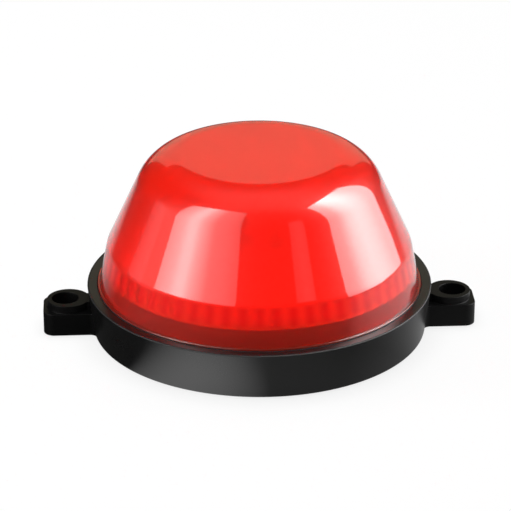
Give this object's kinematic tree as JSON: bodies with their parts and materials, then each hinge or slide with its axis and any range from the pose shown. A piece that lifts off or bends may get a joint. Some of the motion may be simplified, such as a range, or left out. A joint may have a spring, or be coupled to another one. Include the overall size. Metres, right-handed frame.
{
  "type": "horn strobe",
  "caption": "Surface-mount alarm strobe with a sounder: tapered red lens that twists off a round black base with two screw ears, over a flash tube, reflector and driver board.",
  "frame": {"origin": "centre of the base's mounting face", "axes": "+X along the line of the two screw ears, +Z out of the mounting face towards the lens top, -Y towards the viewer of the picture"},
  "size_m": [0.1258, 0.0998, 0.0533],
  "materials": {
    "base_black": "moulded black plastic, semi-gloss with a fine grain",
    "lens_red": "clear red polycarbonate, polished",
    "gasket_rubber": "black foam rubber",
    "grommet_rubber": "soft black rubber",
    "board_laminate": "green lacquered laminate",
    "screw_steel": "zinc plated",
    "reflector_white": "white glossy plastic",
    "holder_ceramic": "unglazed white ceramic",
    "tube_glass": "clear tube glass",
    "electrode_metal": "nickel plated",
    "capacitor_sleeve": "dark blue shrink sleeve",
    "ferrite": "dull ferrite",
    "bobbin_plastic": "cream nylon",
    "winding_copper": "enamelled copper",
    "epoxy_black": "moulded epoxy",
    "tinned_metal": "tin plated",
    "film_brown": "dipped film capacitor",
    "film_yellow": "yellow box capacitor",
    "resistor_tan": "lacquered ceramic",
    "resistor_blue": "lacquered ceramic",
    "diode_glass": "amber glass",
    "sounder_black": "moulded black plastic",
    "disc_brass": "rolled brass",
    "piezo_ceramic": "silvered piezo ceramic"
  },
  "bodies": {
    "base": {"base": "base_black", "cable_grommet": "grommet_rubber", "circuit_board": "board_laminate", "board_screw_a": "screw_steel", "board_screw_b": "screw_steel", "board_screw_c": "screw_steel", "reflector": "reflector_white", "tube_holder": "holder_ceramic", "flash_tube": "tube_glass", "tube_anode": "electrode_metal", "tube_cathode": "electrode_metal", "trigger_band": "electrode_metal", "storage_capacitor": "capacitor_sleeve", "capacitor_bung": "grommet_rubber", "inverter_core": "ferrite", "inverter_bobbin": "bobbin_plastic", "inverter_winding": "winding_copper", "trigger_coil": "epoxy_black", "switching_transistor": "epoxy_black", "transistor_legs": "tinned_metal", "timing_chip": "epoxy_black", "chip_legs": "tinned_metal", "film_capacitor": "film_brown", "trigger_capacitor": "film_yellow", "gate_resistor": "resistor_tan", "bleed_resistor": "resistor_blue", "timing_resistor": "resistor_tan", "rectifier_diode": "epoxy_black", "clamp_diode": "diode_glass", "supply_post_plus": "tinned_metal", "supply_post_minus": "tinned_metal", "sounder_plate": "sounder_black", "sounder_case": "sounder_black", "sounder_disc": "disc_brass", "sounder_ceramic": "piezo_ceramic"},
    "gasket": {"lens_gasket": "gasket_rubber"},
    "lens": {"lens": "lens_red"}
  },
  "joints": [
    {"name": "lens_rise", "type": "slide", "parent": "base", "child": "gasket", "axis": [0, 0, 1], "range_m": [0, 0.00184]},
    {"name": "lens_twist", "type": "hinge", "parent": "gasket", "child": "lens", "pos_m": [0, 0, 0.0135], "axis": [0, 0, 1], "range_deg": [0, 55]}
  ],
  "couplings": [
    {"joint": "lens_rise", "follows": "lens_twist", "m_per_rad": 0.0019099}
  ]
}
